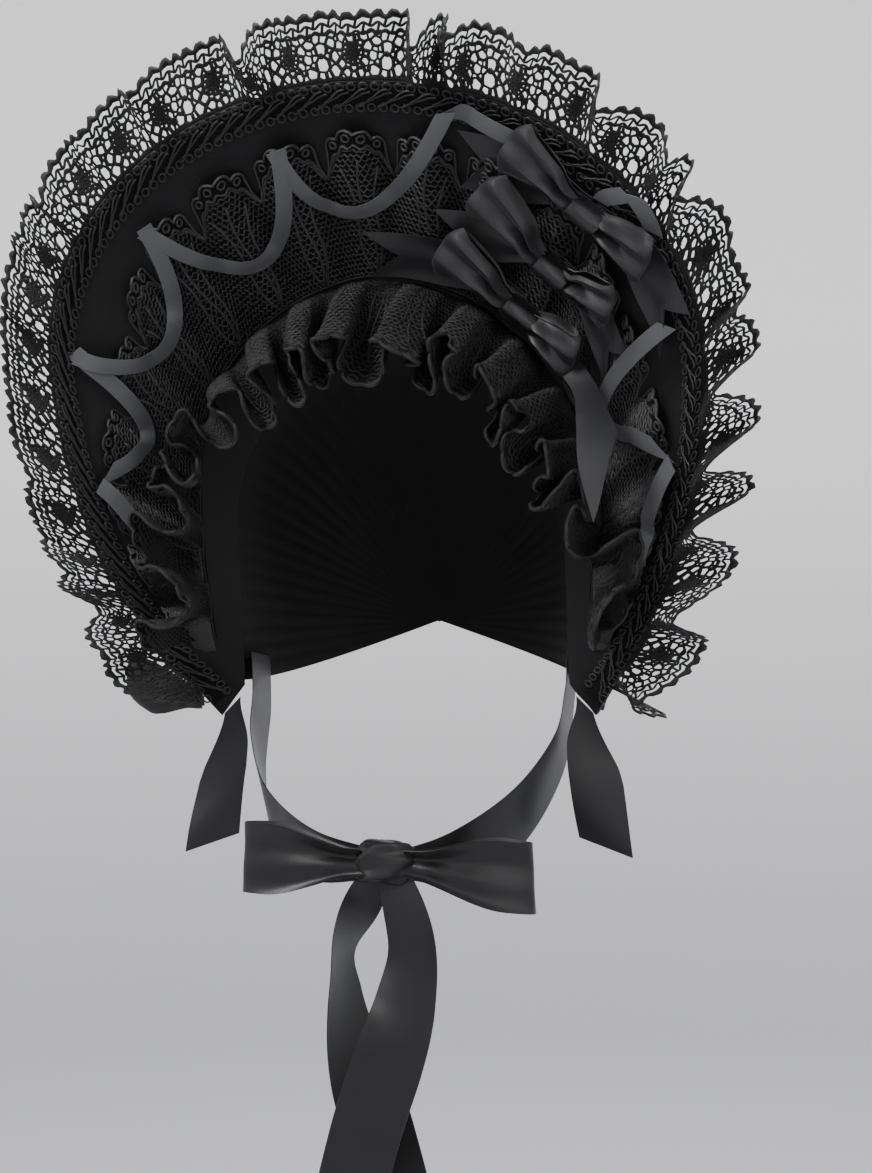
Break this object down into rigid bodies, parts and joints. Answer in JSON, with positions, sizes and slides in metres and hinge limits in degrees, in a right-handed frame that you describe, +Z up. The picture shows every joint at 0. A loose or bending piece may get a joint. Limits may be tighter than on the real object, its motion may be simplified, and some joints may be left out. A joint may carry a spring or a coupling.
{
  "type": "frilled dress bonnet",
  "caption": "Wide dress bonnet worn tied under the chin: stiff flared brim edged with braid and gathered lace, lace frills round the face, a ribbon in swags and satin bows.",
  "frame": {"origin": "where the top of the wearer's head rests against the inside of the cap", "axes": "+Z up as worn, the wearer's face looks along -Y, +X is the viewer's right"},
  "size_m": [0.4292, 0.2662, 0.6365],
  "materials": {
    "brim_cloth": "matte black cotton satin over stiffening",
    "cap_cloth": "soft matte black cotton",
    "cotton_lace": "black cotton bobbin lace",
    "corded_lace": "black corded guipure lace",
    "gimp_braid": "black looped gimp braid",
    "satin_ribbon": "black satin ribbon"
  },
  "bodies": {
    "root": {"brim": "brim_cloth", "crown": "cap_cloth", "braid": "gimp_braid", "edge_frill": "cotton_lace", "lace_collar": "corded_lace", "face_frill": "corded_lace", "swag_1": "satin_ribbon", "swag_2": "satin_ribbon", "swag_3": "satin_ribbon", "swag_4": "satin_ribbon", "swag_5": "satin_ribbon", "swag_6": "satin_ribbon", "swag_7": "satin_ribbon", "swag_8": "satin_ribbon", "swag_9": "satin_ribbon", "bow_1_knot": "satin_ribbon", "bow_1_loop_left": "satin_ribbon", "bow_1_loop_right": "satin_ribbon", "bow_1_tail_left": "satin_ribbon", "bow_1_tail_right": "satin_ribbon", "bow_2_knot": "satin_ribbon", "bow_2_loop_left": "satin_ribbon", "bow_2_loop_right": "satin_ribbon", "bow_2_tail_left": "satin_ribbon", "bow_2_tail_right": "satin_ribbon", "bow_3_knot": "satin_ribbon", "bow_3_loop_left": "satin_ribbon", "bow_3_loop_right": "satin_ribbon", "bow_3_tail_left": "satin_ribbon", "bow_3_tail_right": "satin_ribbon", "tie_left": "satin_ribbon", "tie_right": "satin_ribbon", "chin_knot": "satin_ribbon", "chin_loop_left": "satin_ribbon", "chin_loop_right": "satin_ribbon", "chin_tail_left": "satin_ribbon", "chin_tail_right": "satin_ribbon", "side_loop_left": "satin_ribbon", "side_loop_right": "satin_ribbon", "side_tail_left": "satin_ribbon", "side_tail_right": "satin_ribbon"}
  },
  "joints": []
}
